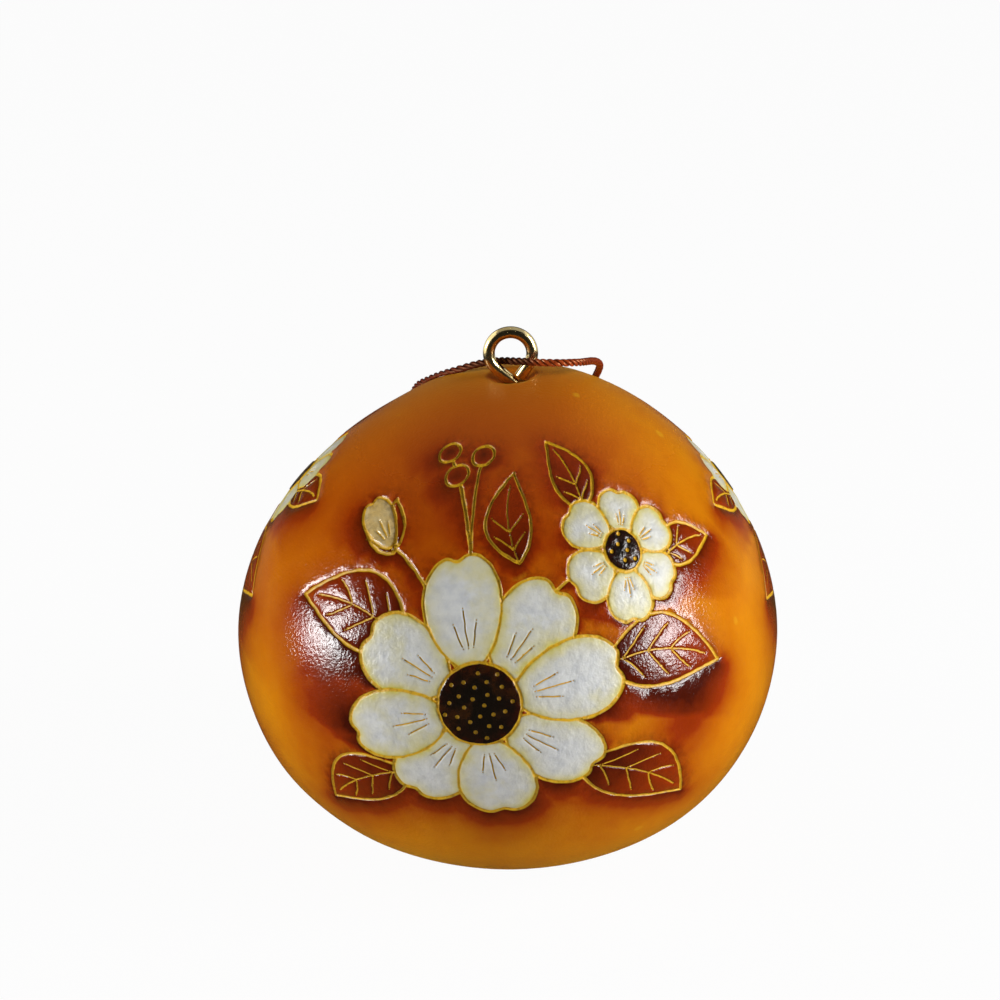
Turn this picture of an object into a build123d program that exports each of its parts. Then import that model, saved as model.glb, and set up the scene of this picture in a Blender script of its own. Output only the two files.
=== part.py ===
from build123d import *
import math
import os

# A dried and carved gourd ornament on a cord, in millimetres. It stands on a sanded flat
# at z = 0, +Z is up along the gourd and the carved front faces -Y.

# The gourd, whose outline is two superellipse halves that meet at its widest level
gourd_width = 70.0
crown_height = 35.0
root_depth = 29.2
crown_exponents = (1.93, 1.69)
root_exponents = (2.06, 2.31)
crown_lean = 2.45
lean_power = 3
resting_radius = 8.0
stem_scar_radius = 1.9
wall = 3.0
stem_wall = 4.0
sections_per_half = 7

# The pit that the eye is sunk in, and the eye's place and lean on the gourd
pit_radius = 3.4
pit_depth = 1.5
eye_offset = 0.85
eye_lean = 7.5

# The screw eye, bent from one wire, with a cut wood-screw thread on its shank
wire_diameter = 1.5
eye_radius = 2.72
eye_height = 4.07
bend_radius = 1.3
eye_gap = 1.1
neck_length = 1.2
thread_length = 5.5
thread_pitch = 0.7
thread_diameter = 1.64
core_diameter = 1.16
ridge_width = 0.42
ridge_overlap = 0.06
point_length = 1.0
point_tip_diameter = 0.12
hole_clearance = 0.02

# The glue round the shank
glue_height = 0.4
glue_dome = 4.0

# The seeds left inside
seed_length = 9.0
seed_width = 4.6
seed_tip_width = 2.0
seed_thickness = 1.7
seed_rounding = 0.6
seed_ring_radius = 10.6
ring_seeds = 8
seed_gap = 0.1

# The hanging cord and its knot
cord_diameter = 1.0
knot_radius = 1.7
knot_length = 3.4
knot_rounding = 0.6
tail_length = 6.0
tail_spread = 9.0
strand_offset = 0.55
corner_share = 0.45

# The cord's route from the knot up the back on the left, through the eye and down on the right
cord_route = [
    (-0.55, 35.9, 12.2),
    (-0.55, 35.9, 14.0),
    (-1.2, 35.9, 16.6),
    (-3.4, 35.9, 20.6),
    (-6.2, 35.5, 25.8),
    (-8.9, 34.65, 31.4),
    (-10.9, 32.95, 37.0),
    (-12.4, 30.0, 42.6),
    (-13.2, 25.9, 48.0),
    (-13.0, 20.7, 53.0),
    (-12.0, 14.8, 57.1),
    (-10.4, 11.2, 59.15),
    (-8.6, 8.0, 60.85),
    (-6.5, 5.0, 62.4),
    (-4.0, 2.75, 64.05),
    (-1.5, 1.3, 64.85),
    (1.7, -0.86, 65.45),
    (4.8, -2.65, 65.82),
    (7.5, -2.2, 65.68),
    (9.3, -0.2, 65.1),
    (10.6, 3.2, 64.2),
    (11.4, 6.6, 63.0),
    (11.9, 9.6, 61.6),
    (11.8, 12.2, 60.0),
    (11.5, 15.0, 58.3),
    (11.1, 19.3, 55.5),
    (10.8, 24.4, 51.2),
    (10.3, 28.85, 46.0),
    (9.5, 32.25, 40.2),
    (8.2, 34.4, 34.4),
    (6.3, 35.35, 28.8),
    (4.2, 35.8, 23.6),
    (2.3, 35.9, 19.4),
    (1.0, 35.9, 16.2),
    (0.55, 35.9, 13.9),
    (0.55, 35.9, 12.2),
]


def share_of_height(radius, half_width, exponents):
    """How far up or down an outline's half its radius has shrunk to this one."""
    rise, round_off = exponents
    return (1 - (radius / half_width) ** round_off) ** (1 / rise)


def outline_radius(share, half_width, exponents):
    """The outline's radius at a share of the way from the widest level to its end."""
    rise, round_off = exponents
    return half_width * (1 - share**rise) ** (1 / round_off)


belly_height = root_depth * share_of_height(resting_radius, gourd_width / 2, root_exponents)
crown_top = belly_height + crown_height


def gourd_form(half_width, crown, root, end_radius_low, end_radius_high):
    """A gourd-shaped solid through round sections, the upper ones drifting towards +X."""
    low_angle = math.asin(share_of_height(end_radius_low, half_width, root_exponents))
    high_angle = math.asin(share_of_height(end_radius_high, half_width, crown_exponents))
    rounds = []
    for step in range(sections_per_half, 0, -1):
        share = math.sin(low_angle * step / sections_per_half)
        radius = outline_radius(share, half_width, root_exponents)
        rounds.append(Pos(0, 0, belly_height - root * share) * Circle(radius))
    for step in range(sections_per_half + 1):
        share = math.sin(high_angle * step / sections_per_half)
        radius = outline_radius(share, half_width, crown_exponents)
        drift = crown_lean * share**lean_power
        rounds.append(Pos(drift, 0, belly_height + crown * share) * Circle(radius))
    return loft(rounds)


# Screw eye: up the shank, round the ring and back down to the cut end beside the shank
wire_radius = wire_diameter / 2
limb_slope = math.asin(eye_radius / eye_height)
touch_across = eye_radius * math.cos(limb_slope)
touch_up = eye_height - eye_radius * math.sin(limb_slope)
eye_place = Location((eye_offset, 0, crown_top - pit_depth), (0, -eye_lean, 0))

stem_and_limb = FilletPolyline(
    (0, 0, -neck_length),
    (0, 0, 0),
    (-touch_across, 0, touch_up),
    radius=bend_radius,
)
ring_arc = ThreePointArc(
    (-touch_across, 0, touch_up),
    (0, 0, eye_height + eye_radius),
    (touch_across, 0, touch_up),
)
end_limb = Line(
    (touch_across, 0, touch_up),
    (eye_gap * math.sin(limb_slope), 0, eye_gap * math.cos(limb_slope)),
)
wire_path = Wire([*stem_and_limb.edges(), *ring_arc.edges(), *end_limb.edges()])
wire_face = Plane((0, 0, -neck_length), z_dir=(0, 0, 1)) * Circle(wire_radius)
bent_wire = sweep(wire_face, path=wire_path)

core_radius = core_diameter / 2
thread_radius = thread_diameter / 2
core = Pos(0, 0, -neck_length - thread_length / 2) * Cylinder(core_radius, thread_length)
point = Pos(0, 0, -neck_length - thread_length - point_length / 2) * Cone(
    point_tip_diameter / 2, core_radius, point_length
)
thread_line = Pos(0, 0, -neck_length - thread_length) * Helix(
    pitch=thread_pitch,
    height=thread_length - thread_pitch / 2,
    radius=core_radius,
)
ridge_face = Plane(thread_line @ 0, x_dir=(1, 0, 0), z_dir=thread_line % 0) * make_face(
    Polyline(
        (-ridge_overlap, -ridge_width / 2),
        (-ridge_overlap, ridge_width / 2),
        (thread_radius - core_radius, 0),
        close=True,
    )
)
thread = sweep(ridge_face, path=thread_line, is_frenet=True)
screw_eye = eye_place * (bent_wire + core + point + thread)

# Gourd shell: the hollow form, with the pit and the pilot hole for the shank
cavity = gourd_form(
    gourd_width / 2 - wall,
    crown_height - stem_wall,
    root_depth - wall,
    resting_radius,
    pit_radius,
)
pit_curve = (pit_radius**2 + pit_depth**2) / (2 * pit_depth)
pit_ball = eye_place * Pos(0, 0, pit_curve) * Sphere(pit_curve)
shank_length = neck_length + thread_length + point_length
neck_hole = eye_place * Pos(0, 0, -neck_length / 2) * Cylinder(
    wire_radius + hole_clearance, neck_length + pit_depth
)
pilot_hole = eye_place * Pos(0, 0, -shank_length / 2) * Cylinder(
    core_radius + hole_clearance, shank_length
)
outer_form = gourd_form(
    gourd_width / 2, crown_height, root_depth, resting_radius, stem_scar_radius
)
gourd_shell = outer_form - cavity - pit_ball - neck_hole - pilot_hole

# Glue bead: a lens that fills the bottom of the pit round the wire
glue_ball = eye_place * Pos(0, 0, glue_height - glue_dome) * Sphere(glue_dome)
glue_bead = (pit_ball & glue_ball) - screw_eye - neck_hole

# Seeds: one in the middle of the cavity's floor and a ring of them round it
seed_outline = make_hull(
    [
        *(Pos(seed_length / 2 - seed_width / 2, 0) * Circle(seed_width / 2)).edges(),
        *(Pos(seed_tip_width / 2 - seed_length / 2, 0) * Circle(seed_tip_width / 2)).edges(),
    ]
)
seed_block = extrude(seed_outline, amount=seed_thickness / 2, both=True)
seed = fillet(seed_block.faces().filter_by(Axis.Z).edges(), seed_rounding)
cavity_half = gourd_width / 2 - wall
cavity_root = root_depth - wall


def floor_height(radius):
    """Height of the cavity's floor at a radius from the middle."""
    share = share_of_height(max(radius, resting_radius), cavity_half, root_exponents)
    return belly_height - cavity_root * share


inner_reach = seed_ring_radius - seed_length / 2
outer_reach = seed_ring_radius + seed_length / 2
floor_rise = floor_height(outer_reach) - floor_height(inner_reach)
seed_tilt = math.degrees(math.atan2(floor_rise, seed_length))
ring_height = (floor_height(outer_reach) + floor_height(inner_reach)) / 2
ring_lift = (seed_thickness / 2 + seed_gap) / math.cos(math.radians(seed_tilt))
seeds = [Pos(0, 0, floor_height(0) + seed_thickness / 2 + seed_gap) * seed]
for turn in range(ring_seeds):
    place = Rot(0, 0, (turn + 0.5) * 360 / ring_seeds)
    place *= Pos(seed_ring_radius, 0, ring_height + ring_lift)
    seeds.append(place * Rot(0, -seed_tilt, 0) * seed)

# Hanging cord: one tube of straight runs and tangent arcs, its ends flush with the knot's top
route = [Vector(*spot) for spot in cord_route]
corner_radii = []
for before, corner, after in zip(route, route[1:], route[2:]):
    run_in = corner - before
    run_out = after - corner
    shorter_run = min(run_in.length, run_out.length)
    half_turn = math.radians(run_in.get_angle(run_out)) / 2
    corner_radii.append(corner_share * shorter_run / math.tan(half_turn))
cord_line = FilletPolyline(*route, radius=corner_radii)
cord_start = Plane(cord_line @ 0, z_dir=cord_line % 0)
hanging_cord = sweep(cord_start * Circle(cord_diameter / 2), path=cord_line)
print("cord corner radii", [round(radius, 1) for radius in corner_radii])
print("cord length", round(cord_line.length, 1))
tube_volume = math.pi * cord_diameter**2 / 4 * cord_line.length
print("cord volume over section times length", round(hanging_cord.volume / tube_volume, 4))

# Cord knot: the tied ends as one barrel with two short tails
knot_top = route[0]
knot_middle = Pos(0, knot_top.Y, knot_top.Z - knot_length / 2)
barrel = Cylinder(knot_radius, knot_length)
cord_knot = knot_middle * fillet(barrel.edges().filter_by(GeomType.CIRCLE), knot_rounding)
for side in (-1, 1):
    tail = Pos(side * strand_offset, 0, -knot_length / 2 + knot_rounding)
    tail *= Rot(0, -side * tail_spread, 0) * Pos(0, 0, -tail_length / 2)
    cord_knot += knot_middle * tail * Cylinder(cord_diameter / 2, tail_length)

os.makedirs("parts", exist_ok=True)
export_step(gourd_shell, "parts/gourd_shell.step")
export_step(screw_eye, "parts/screw_eye.step")
export_step(glue_bead, "parts/glue_bead.step")
export_step(Compound(children=seeds), "parts/seeds.step")
export_step(hanging_cord, "parts/hanging_cord.step")
export_step(cord_knot, "parts/cord_knot.step")
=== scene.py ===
import math

import bmesh
import bpy
import numpy as np
from mathutils import Matrix, Vector, bvhtree, geometry, kdtree, noise


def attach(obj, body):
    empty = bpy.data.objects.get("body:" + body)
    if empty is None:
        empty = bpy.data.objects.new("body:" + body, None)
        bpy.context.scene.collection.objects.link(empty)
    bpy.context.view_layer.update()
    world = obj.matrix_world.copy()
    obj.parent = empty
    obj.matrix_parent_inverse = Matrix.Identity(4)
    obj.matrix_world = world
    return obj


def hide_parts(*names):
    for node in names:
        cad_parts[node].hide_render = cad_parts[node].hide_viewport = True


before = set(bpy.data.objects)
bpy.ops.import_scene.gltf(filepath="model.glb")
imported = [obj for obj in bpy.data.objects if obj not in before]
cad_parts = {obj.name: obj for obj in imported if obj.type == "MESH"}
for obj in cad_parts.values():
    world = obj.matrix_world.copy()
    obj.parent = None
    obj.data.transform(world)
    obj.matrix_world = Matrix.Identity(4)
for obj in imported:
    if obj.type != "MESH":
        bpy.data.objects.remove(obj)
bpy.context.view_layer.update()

# Gourd. A small gourd grown nearly round and dried until its rind is hard and hollow, then dyed
# amber. A flower spray is cut through the dyed rind with a fine gouge, shaded with a hot iron,
# painted white on its petals and sealed under gloss lacquer.
MM = 0.001
half_width = 35.0
crown_height = 35.0
crown_exponents = (1.93, 1.69)
root_depth = 29.2
root_exponents = (2.06, 2.31)
crown_lean = 2.45
lean_power = 3
resting_radius = 8.0
least_length = 1e-9
resting_share = (1 - (resting_radius / half_width) ** root_exponents[1]) ** (1 / root_exponents[0])
belly_height = root_depth * resting_share
pit_radius = 3.4
pit_depth = 1.5
pit_curve = (pit_radius**2 + pit_depth**2) / (2 * pit_depth)
eye_lean = math.radians(7.5)
eye_foot = Vector((0.85, 0, belly_height + crown_height - pit_depth))
eye_place = Matrix.Translation(eye_foot) @ Matrix.Rotation(-eye_lean, 4, "Y")


def on_gourd(globe):
    """Carries points of a globe of radius 1 to the plain gourd's skin, in millimetres."""
    level = globe[:, 2]
    share = np.minimum(np.abs(level), 1)
    crown = (1 - share ** crown_exponents[0]) ** (1 / crown_exponents[1])
    root = (1 - share ** root_exponents[0]) ** (1 / root_exponents[1])
    upper = level > 0
    radius = half_width * np.where(upper, crown, root)
    length = np.maximum(np.hypot(globe[:, 0], globe[:, 1]), least_length)
    skin = globe * (radius / length)[:, None]
    skin[:, 0] += np.where(upper, crown_lean * share**lean_power, 0)
    skin[:, 2] = belly_height + level * np.where(upper, crown_height, root_depth)
    return skin


def placed(along, across, start, heading):
    """Points measured along and across a heading from a start, on the drawing's plane."""
    angle = math.radians(heading)
    x = start[0] + along * math.cos(angle) - across * math.sin(angle)
    y = start[1] + along * math.sin(angle) + across * math.cos(angle)
    return np.stack([x, y], axis=1)


# The spray's shapes are drawn flat in millimetres, front ones first, and each hides what lies
# behind it. Fill is the finish inside a shape, and reach the length that its shading runs over.
# The details of petals and leaves are shares of their own length and width.
spray = []
stalks = []
dents = []
disc_points = 40
petal_points = 72
notch_depth = 0.07
notch_width = 0.2
petal_foot_breadth = 0.66
petal_end_breadth = 0.34
petal_cut_points = 12
petal_cut_foot = 0.18
petal_cut_leans_and_ends = ((-0.26, 0.40), (0, 0.52), (0.26, 0.40))
petal_sway_degrees = 4
petal_unevenness = 0.05
leaf_points = 40
rib_points = 34
leaf_bulge = 0.8
first_vein = 0.12
vein_spacing = 0.20
vein_run = 0.18
vein_reach = 0.72
vein_points = 8
stalk_points = 40
berry_radius = 1.75
golden_angle = math.radians(137.508)


def draw(fill, outline, start, reach, cuts=()):
    spray.append({"fill": fill, "outline": outline, "start": start, "reach": reach, "cuts": cuts})


def draw_disc(fill, centre, radius):
    turn = np.linspace(0, 2 * math.pi, disc_points, endpoint=False)
    outline = placed(radius * np.cos(turn), radius * np.sin(turn), centre, 0)
    draw(fill, outline, centre, radius)


def draw_petal(fill, centre, heading, inner, outer, width):
    """An egg-shaped petal, broad and notched at its outer end, with cuts that fan from its foot."""
    turn = np.linspace(0, 2 * math.pi, petal_points, endpoint=False)
    open_up = (1 - np.cos(turn)) / 2
    notch = notch_depth * np.exp(-(((turn - math.pi) / notch_width) ** 2))
    along = inner + (outer - inner) * (open_up - notch)
    across = width / 2 * np.sin(turn) * (petal_foot_breadth + petal_end_breadth * open_up)
    cuts = []
    for lean, end in petal_cut_leans_and_ends:
        run = np.linspace(petal_cut_foot, end, petal_cut_points) * (outer - inner)
        cuts.append(placed(inner + run, lean * run, centre, heading))
    draw(fill, placed(along, across, centre, heading), centre, outer, cuts)


def draw_leaf(start, heading, length, width, bow, side_veins):
    """A pointed leaf on a bowed midrib, with side veins that lean towards its tip."""
    share = np.linspace(0, 1, leaf_points)
    rib = bow * 4 * share * (1 - share)
    half = width / 2 * np.sin(math.pi * share**leaf_bulge)
    along = np.concatenate([length * share, length * share[::-1]])
    across = np.concatenate([rib + half, (rib - half)[::-1]])
    cuts = [placed(length * share[:rib_points], rib[:rib_points], start, heading)]
    for number in range(side_veins):
        foot = first_vein + vein_spacing * number
        run = np.linspace(foot, foot + vein_run, vein_points)
        lift = vein_reach * (run - foot) / vein_run * np.interp(run, share, half)
        line = np.interp(run, share, rib)
        cuts.append(placed(length * run, line + lift, start, heading))
        cuts.append(placed(length * run, line - lift, start, heading))
    draw("leaf", placed(along, across, start, heading), start, length, cuts)


def draw_blossom(centre, petals, inner, outer, width, head, turn):
    """A flower's head and its petals, every second one in front and each a little out of true."""
    draw_disc("ink", centre, head)
    for layer in (0, 1):
        for number in range(layer, petals, 2):
            heading = turn + 360 * number / petals + petal_sway_degrees * math.sin(5 * number)
            reach = outer * (1 + petal_unevenness * math.sin(3 * number + 1))
            draw_petal("white", centre, heading, inner, reach, width)


def draw_stalk(*points):
    """One gouge stroke that bends from the first point to the last, drawn by the middle one."""
    first, middle, last = (np.array(point, float) for point in points)
    share = np.linspace(0, 1, stalk_points)[:, None]
    stalks.append(first * (1 - share) ** 2 + 2 * middle * share * (1 - share) + last * share**2)


def draw_dents(centre, count, reach):
    """Small dents pressed into a flower's head, spaced as its seeds grow."""
    for number in range(count):
        distance = reach * math.sqrt((number + 0.5) / count)
        angle = golden_angle * number
        dents.append((centre[0] + distance * math.cos(angle), centre[1] + distance * math.sin(angle)))


main_centre = (-3.5, -4.0)
side_centre = (15.5, 15.0)
bud_foot = (-17.0, 15.5)
draw_blossom(main_centre, petals=8, inner=4.4, outer=18.0, width=11.8, head=5.2, turn=14)
draw_blossom(side_centre, petals=6, inner=2.4, outer=9.2, width=8.0, head=2.9, turn=32)
draw_dents(main_centre, count=26, reach=4.5)
draw_dents(side_centre, count=7, reach=2.3)
draw_petal("cream", bud_foot, heading=128, inner=0, outer=9.5, width=5.6)
draw_leaf((-16.4, 14.6), heading=146, length=7.5, width=3.4, bow=-0.6, side_veins=0)
draw_leaf((-16.0, 15.6), heading=108, length=7.5, width=3.4, bow=0.6, side_veins=0)
draw_leaf((-12.5, 2.5), heading=160, length=20.0, width=10.0, bow=-2.0, side_veins=3)
draw_leaf((9.0, -13.0), heading=-32, length=21.0, width=10.5, bow=2.2, side_veins=3)
draw_leaf((-13.0, -15.0), heading=-142, length=18.0, width=9.5, bow=-2.0, side_veins=3)
draw_leaf((12.0, 0.5), heading=-2, length=19.0, width=9.5, bow=2.0, side_veins=3)
draw_leaf((10.0, 20.0), heading=118, length=12.5, width=6.4, bow=-1.0, side_veins=2)
draw_leaf((22.0, 14.0), heading=24, length=11.5, width=6.0, bow=1.0, side_veins=2)
draw_leaf((1.0, 13.0), heading=98, length=12.5, width=6.2, bow=1.2, side_veins=2)
for berry in ((-9.5, 25.5), (-6.0, 28.6), (-11.8, 29.8)):
    draw_disc("leaf", berry, berry_radius)
    draw_stalk(berry, (-6.5, 21.0), (-5.0, 11.0))
draw_stalk(bud_foot, (-13.0, 13.5), (-9.0, 7.0))
draw_stalk(side_centre, (9.0, 13.0), (4.0, 8.0))


def inside(points, outline):
    """Which points lie in a closed outline, by counting its edges to the right of each."""
    low, high = outline.min(0), outline.max(0)
    near = np.all((points > low) & (points < high), axis=1)
    x, y = points[near, :1], points[near, 1:]
    end = np.roll(outline, -1, axis=0)
    crosses = (outline[:, 1] > y) != (end[:, 1] > y)
    climb = np.where(end[:, 1] == outline[:, 1], 1, end[:, 1] - outline[:, 1])
    meets = outline[:, 0] + (y - outline[:, 1]) * (end[:, 0] - outline[:, 0]) / climb
    found = np.zeros(len(points), bool)
    found[near] = (crosses & (meets > x)).sum(1) % 2 == 1
    return found


cut_step = 0.30
cut_half = {"outline": 0.23, "vein": 0.16}
cut_depth = {"outline": 0.30, "vein": 0.20}
cut_rim = 0.17
hand_sway = 0.09
sway_rate = 0.9
dent_half = 0.36
dent_depth = 0.26
sharp_turn = math.cos(math.radians(35))
points_round = 8

# Each cut line sways a little, as the hand does, and loses the stretches that a shape in front
# covers. Rows of points along what is left carry the groove's floor, its edges and its rims.
cut_lines = {"outline": [], "vein": []}
cut_rows = []


def ring_cut(centres, radius):
    """Rows of points at a radius round each centre."""
    for angle in np.linspace(0, 2 * math.pi, points_round, endpoint=False):
        cut_rows.append((radius, centres + radius * np.array([math.cos(angle), math.sin(angle)])))


def lay_cut(kind, line, in_front):
    """Adds the rows of one cut line, less what the shapes in front of it cover."""
    run = np.concatenate([[0], np.cumsum(np.hypot(*np.diff(line, axis=0).T))])
    spots = np.linspace(0, run[-1], max(int(run[-1] / cut_step), 2) + 1)
    even = np.stack([np.interp(spots, run, line[:, 0]), np.interp(spots, run, line[:, 1])], axis=1)
    ahead = np.gradient(even, axis=0)
    ahead /= np.hypot(ahead[:, 0], ahead[:, 1])[:, None]
    across = np.stack([-ahead[:, 1], ahead[:, 0]], axis=1)
    turns = np.ones(len(even), bool)
    turns[1:-1] = (across[:-2] * across[2:]).sum(1) < sharp_turn
    sway = np.array([noise.noise(Vector((*spot, 0)) * sway_rate) for spot in even])
    even = even + across * sway[:, None] * hand_sway
    for shape in in_front:
        shown = ~inside(even, shape["outline"])
        even, across, turns = even[shown], across[shown], turns[shown]
    cut_lines[kind].append(even)
    cut_rows.append((0, even))
    for offset in (cut_half[kind], cut_half[kind] + cut_rim):
        cut_rows.append((offset, even + offset * across))
        cut_rows.append((offset, even - offset * across))
        ring_cut(even[turns], offset)


for order, shape in enumerate(spray):
    closed = np.concatenate([shape["outline"], shape["outline"][:1]])
    lay_cut("outline", closed, spray[:order])
    for cut in shape["cuts"]:
        lay_cut("vein", cut, spray[:order])
for stalk in stalks:
    lay_cut("outline", stalk, spray)
dents = np.array(dents)
cut_rows.append((0, dents))
for radius in (dent_half / 2, dent_half, dent_half + cut_rim):
    ring_cut(dents, radius)
cut_points = np.concatenate([points for offset, points in sorted(cut_rows, key=lambda row: row[0])])

# The same spray is cut on three sides, one of them mirrored. Each side has its own centre,
# directions and scale on the globe, and faces a little more than half of it.
side_edge = -0.2
least_depth = 1e-3


class Side:
    def __init__(self, azimuth, latitude, roll, scale, mirror):
        turn = Matrix.Rotation(math.radians(azimuth), 3, "Z")
        turn = turn @ Matrix.Rotation(math.radians(-latitude), 3, "X")
        turn = turn @ Matrix.Rotation(math.radians(roll), 3, "Y")
        self.centre = np.array(turn @ Vector((0, -1, 0)))
        self.east = np.array(turn @ Vector((mirror, 0, 0)))
        self.north = np.array(turn @ Vector((0, 0, 1)))
        self.scale = scale

    def to_globe(self, flat):
        spread = flat * self.scale / (2 * half_width)
        square = (spread**2).sum(1)[:, None]
        tangent = spread[:, :1] * self.east + spread[:, 1:] * self.north
        return (2 * tangent + (1 - square) * self.centre) / (1 + square)

    def to_flat(self, globe):
        depth = np.maximum(1 + globe @ self.centre, least_depth)
        flat = np.stack([globe @ self.east, globe @ self.north], axis=1) / depth[:, None]
        return flat * 2 * half_width / self.scale

    def faces(self, globe):
        return globe @ self.centre > side_edge


sides = [
    Side(azimuth=0, latitude=14, roll=0, scale=1.0, mirror=1),
    Side(azimuth=122, latitude=10, roll=8, scale=0.94, mirror=-1),
    Side(azimuth=-120, latitude=10, roll=-10, scale=0.94, mirror=1),
]


def on_all_sides(flat):
    return np.concatenate([side.to_globe(flat) for side in sides])


def globe_spread(count):
    """Evenly spread points on the globe, on one long spiral from top to bottom."""
    number = np.arange(count)
    level = 1 - 2 * (number + 0.5) / count
    radius = np.sqrt(1 - level**2)
    turn = golden_angle * number
    return np.stack([radius * np.cos(turn), radius * np.sin(turn), level], axis=1)


def tree_of(points):
    tree = kdtree.KDTree(len(points))
    for number, point in enumerate(points):
        tree.insert(point, number)
    tree.balance()
    return tree


def gaps_to(tree, points):
    """Each point's gap to the nearest one in a tree in millimetres, and the way there."""
    found = [tree.find(point) for point in points]
    gap = np.array([near[2] for near in found]) * half_width
    way = np.array([near[0] for near in found]) - points
    return gap, way


def drawn_on(globe):
    """Which points on the globe lie in one of the spray's shapes."""
    area = np.zeros(len(globe), bool)
    for side in sides:
        flat = side.to_flat(globe)
        for shape in spray:
            area |= side.faces(globe) & inside(flat, shape["outline"])
    return area


# The skin's points: those of the cuts, thinned where they crowd, rings round the pit and the flat
# base, and a filling that is finer in the spray's shapes than on the ground between them.
cut_spacing = 0.13
cut_clearance = 0.36
ground_points = 9000
drawn_points = 40000
pit_reach = 6.0
ring_gap = 0.3
least_ring_points = 12
ring_points_per_mm = 14
level_rounds = 4
resting_points = 96
base_clearance = 0.02
merge_reach = 1e-7

cuts = on_all_sides(cut_points)
outline_tree = tree_of(on_all_sides(np.concatenate(cut_lines["outline"])))
vein_tree = tree_of(on_all_sides(np.concatenate(cut_lines["vein"])))
dent_tree = tree_of(on_all_sides(dents))
cut_cell = cut_spacing / half_width
_, kept = np.unique(np.floor(cuts / cut_cell), axis=0, return_index=True)
cuts = cuts[np.sort(kept)]

pit_rings = []
for radius in np.arange(ring_gap, pit_reach, ring_gap):
    count = int(least_ring_points + ring_points_per_mm * radius)
    turn = np.linspace(0, 2 * math.pi, count, endpoint=False) + radius
    right = eye_foot.x + radius * np.cos(turn)
    back = radius * np.sin(turn)
    share = np.ones_like(turn)
    # The crown leans more the higher it is, so a ring's level is found in a few rounds
    for _ in range(level_rounds):
        from_axis = right - crown_lean * share**lean_power
        distance = np.hypot(from_axis, back)
        share = (1 - (distance / half_width) ** crown_exponents[1]) ** (1 / crown_exponents[0])
    spread = np.sqrt(1 - share**2) / distance
    pit_rings.append(np.column_stack([from_axis * spread, back * spread, share]))
resting_turn = np.linspace(0, 2 * math.pi, resting_points, endpoint=False)
resting_spread = math.sqrt(1 - resting_share**2)
resting_ring = np.column_stack(
    [
        resting_spread * np.cos(resting_turn),
        resting_spread * np.sin(resting_turn),
        np.full(len(resting_turn), -resting_share),
    ]
)

ground = globe_spread(ground_points)
drawn = globe_spread(drawn_points)
filling = np.concatenate([ground[~drawn_on(ground)], drawn[drawn_on(drawn)]])
cut_gap, _ = gaps_to(tree_of(cuts), filling)
filling = filling[(cut_gap > cut_clearance) & (filling[:, 2] > base_clearance - resting_share)]
from_eye = on_gourd(filling)[:, :2] - (eye_foot.x, 0)
filling = filling[(np.hypot(*from_eye.T) > pit_reach) | (filling[:, 2] < 0)]
globe = np.concatenate([cuts, filling, *pit_rings, resting_ring])

# Seen from the globe's lowest point they lie spread on a plane, where they are joined to triangles
flat_globe = [Vector(point) for point in globe[:, :2] / (1 + globe[:, 2:])]
_, _, triangles, origin, _, _ = geometry.delaunay_2d_cdt(flat_globe, [], [], 0, merge_reach)
globe = globe[[sources[0] for sources in origin]]

# The finish that each point carries. The hot iron burns leaves darkest at their foot, the ground
# below each shape more than above it, and a few smudges beside the leaves.
burn_reach = 4.0
burn_beside = 0.55
burn_below = 0.45
burn_at_foot = 1.05
burn_fade = 0.65
least_gap = 0.05
smudges = [((-25.0, -5.0), 8.0, 0.55), ((25.0, -7.5), 7.0, 0.45), ((-13.0, 22.0), 6.0, 0.12)]
deep_side = np.array((-0.25, -0.62, 0.74))
deep_start = 0.45
deep_width = 0.5
outline_gap, outline_way = gaps_to(outline_tree, globe)
vein_gap, _ = gaps_to(vein_tree, globe)
dent_gap, _ = gaps_to(dent_tree, globe)
finish = {fill: np.zeros(len(globe)) for fill in ("white", "cream", "leaf", "ink")}
below = np.clip(outline_way[:, 2] * half_width / np.maximum(outline_gap, least_gap), -1, 1)
burn = np.exp(-outline_gap / burn_reach) * (burn_beside + burn_below * below)
for side in sides:
    flat = side.to_flat(globe)
    free = side.faces(globe)
    for spot, size, strength in smudges:
        burn += strength * np.exp(-(((flat - spot) / size) ** 2).sum(1))
    for shape in spray:
        here = free & inside(flat, shape["outline"])
        finish[shape["fill"]][here] = 1
        from_start = np.hypot(*(flat[here] - shape["start"]).T)
        burn[here] = burn_at_foot - burn_fade * from_start / shape["reach"]
        free &= ~here
deep = np.clip((globe @ deep_side - deep_start) / deep_width, 0, 1)

# How deep each point is sunk. The paint fills its petals unevenly, and the rind swells a little.
lump_rate = 26
swell_rate = 2.6
cut_raggedness = 0.25
paint_depth = 0.16
paint_unevenness = 0.05
swell_height = 0.16
swell_end = 0.95
swell_fade = 4
lumps = np.array([noise.noise(Vector(point) * lump_rate) for point in globe])
swells = np.array([noise.noise(Vector(point) * swell_rate) for point in globe])
outline_gap *= 1 + cut_raggedness * lumps
groove = np.clip(1 - (outline_gap / cut_half["outline"]) ** 2, 0, 1)
vein = np.clip(1 - (vein_gap / cut_half["vein"]) ** 2, 0, 1)
dent = np.clip(1 - (dent_gap / dent_half) ** 2, 0, 1)
sunk = np.maximum.reduce([groove * cut_depth["outline"], vein * cut_depth["vein"], dent * dent_depth])
sunk += finish["white"] * (1 - groove) * (paint_depth + paint_unevenness * lumps)
middle_share = np.clip((1 - np.abs(globe[:, 2]) / swell_end) * swell_fade, 0, 1)
skin = on_gourd(globe) - globe * (sunk + swell_height * middle_share * swells)[:, None]
skin[:, 2] = np.maximum(skin[:, 2], 0)

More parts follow.
